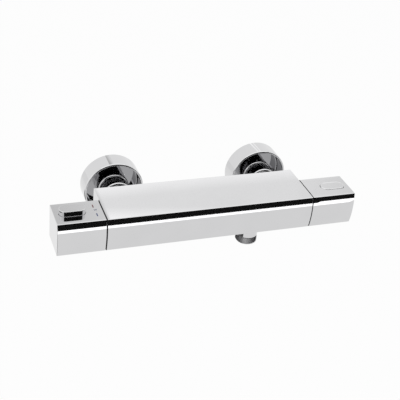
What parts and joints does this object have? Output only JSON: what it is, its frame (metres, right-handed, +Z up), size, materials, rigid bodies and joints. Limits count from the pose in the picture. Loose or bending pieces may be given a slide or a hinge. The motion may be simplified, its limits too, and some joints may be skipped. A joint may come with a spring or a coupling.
{
  "type": "thermostatic shower valve",
  "caption": "Wall-mounted bar shower mixer, square section, temperature handle left and flow handle right, cup rosettes behind, threaded hose outlet below.",
  "frame": {"origin": "on the finished wall plane, midway between the two inlet axes, at the height of the bar's axis", "axes": "+X along the bar from the temperature handle to the flow handle, +Y into the wall, +Z up"},
  "size_m": [0.29, 0.113, 0.0637],
  "materials": {
    "chrome": "polished chrome plating",
    "black_plastic": "moulded, matt",
    "white_plastic": "moulded, natural acetal",
    "brass": "turned",
    "stainless_steel": "drawn and turned",
    "rubber": "moulded",
    "ceramic": "lapped"
  },
  "bodies": {
    "valve": {"valve_body": "chrome", "hose_outlet": "chrome", "hot_rosette": "chrome", "cold_rosette": "chrome", "hot_s_union": "chrome", "cold_s_union": "chrome", "hot_union_nut": "chrome", "cold_union_nut": "chrome", "hot_tailpiece": "chrome", "cold_tailpiece": "chrome", "temperature_glide_plate": "black_plastic", "flow_glide_plate": "black_plastic", "temperature_stop_ring": "white_plastic", "flow_stop_ring": "white_plastic", "hot_check_valve": "white_plastic", "cold_check_valve": "white_plastic", "thermostat_retaining_nut": "brass", "thermostat_housing": "brass", "headwork_bonnet": "brass", "hot_filter_screen": "stainless_steel", "cold_filter_screen": "stainless_steel", "return_spring": "stainless_steel", "hot_check_spring": "stainless_steel", "cold_check_spring": "stainless_steel", "thermostat_o_rings": "rubber", "headwork_o_ring": "rubber", "headwork_lip_seal": "rubber", "outlet_o_ring": "rubber", "hot_rosette_gasket": "rubber", "cold_rosette_gasket": "rubber", "hot_filter_washer": "rubber", "cold_filter_washer": "rubber", "fixed_ceramic_disc": "ceramic"},
    "temperature_control": {"temperature_handle": "chrome", "temperature_carrier": "white_plastic", "temperature_carrier_screw": "stainless_steel", "temperature_grub_screw": "stainless_steel", "temperature_spindle": "brass", "thermostat_clip": "stainless_steel", "safety_button_spring": "stainless_steel"},
    "safety_release": {"safety_button": "chrome"},
    "thermostat_slide": {"regulating_nut": "brass", "overload_spring": "stainless_steel", "wax_element": "brass", "regulating_slide": "white_plastic"},
    "flow_control": {"flow_handle": "chrome", "flow_carrier": "white_plastic", "flow_carrier_screw": "stainless_steel", "flow_grub_screw": "stainless_steel", "flow_spindle": "brass", "headwork_clip": "stainless_steel", "moving_ceramic_disc": "ceramic", "eco_button_spring": "stainless_steel"},
    "eco_release": {"eco_button": "chrome"},
    "hot_check": {"hot_check_poppet": "white_plastic"},
    "cold_check": {"cold_check_poppet": "white_plastic"}
  },
  "joints": [
    {"name": "temperature_turn", "type": "hinge", "parent": "valve", "child": "temperature_control", "pos_m": [-0.12, -0.07425, 0], "axis": [1, 0, 0], "range_deg": [-50, 130]},
    {"name": "safety_press", "type": "slide", "parent": "temperature_control", "child": "safety_release", "axis": [0, 0, -1], "range_m": [0, 0.0025], "stiffness_N_per_m": 1200, "springref_m": -0.001, "deforming": ["safety_button_spring"]},
    {"name": "thermostat_travel", "type": "slide", "parent": "valve", "child": "thermostat_slide", "axis": [1, 0, 0], "range_m": [-0.0012, 0.0006], "deforming": ["return_spring"]},
    {"name": "flow_turn", "type": "hinge", "parent": "valve", "child": "flow_control", "pos_m": [0.12, -0.07425, 0], "axis": [1, 0, 0], "range_deg": [0, 90]},
    {"name": "eco_press", "type": "slide", "parent": "flow_control", "child": "eco_release", "axis": [0, 0, -1], "range_m": [0, 0.0015], "stiffness_N_per_m": 1200, "springref_m": -0.001, "deforming": ["eco_button_spring"]},
    {"name": "hot_check_open", "type": "slide", "parent": "valve", "child": "hot_check", "axis": [0, -1, 0], "range_m": [0, 0.003], "stiffness_N_per_m": 60, "springref_m": -0.002, "deforming": ["hot_check_spring"]},
    {"name": "cold_check_open", "type": "slide", "parent": "valve", "child": "cold_check", "axis": [0, -1, 0], "range_m": [0, 0.003], "stiffness_N_per_m": 60, "springref_m": -0.002, "deforming": ["cold_check_spring"]}
  ],
  "couplings": [
    {"joint": "thermostat_travel", "follows": "temperature_turn", "m_per_rad": -0.00047746}
  ]
}
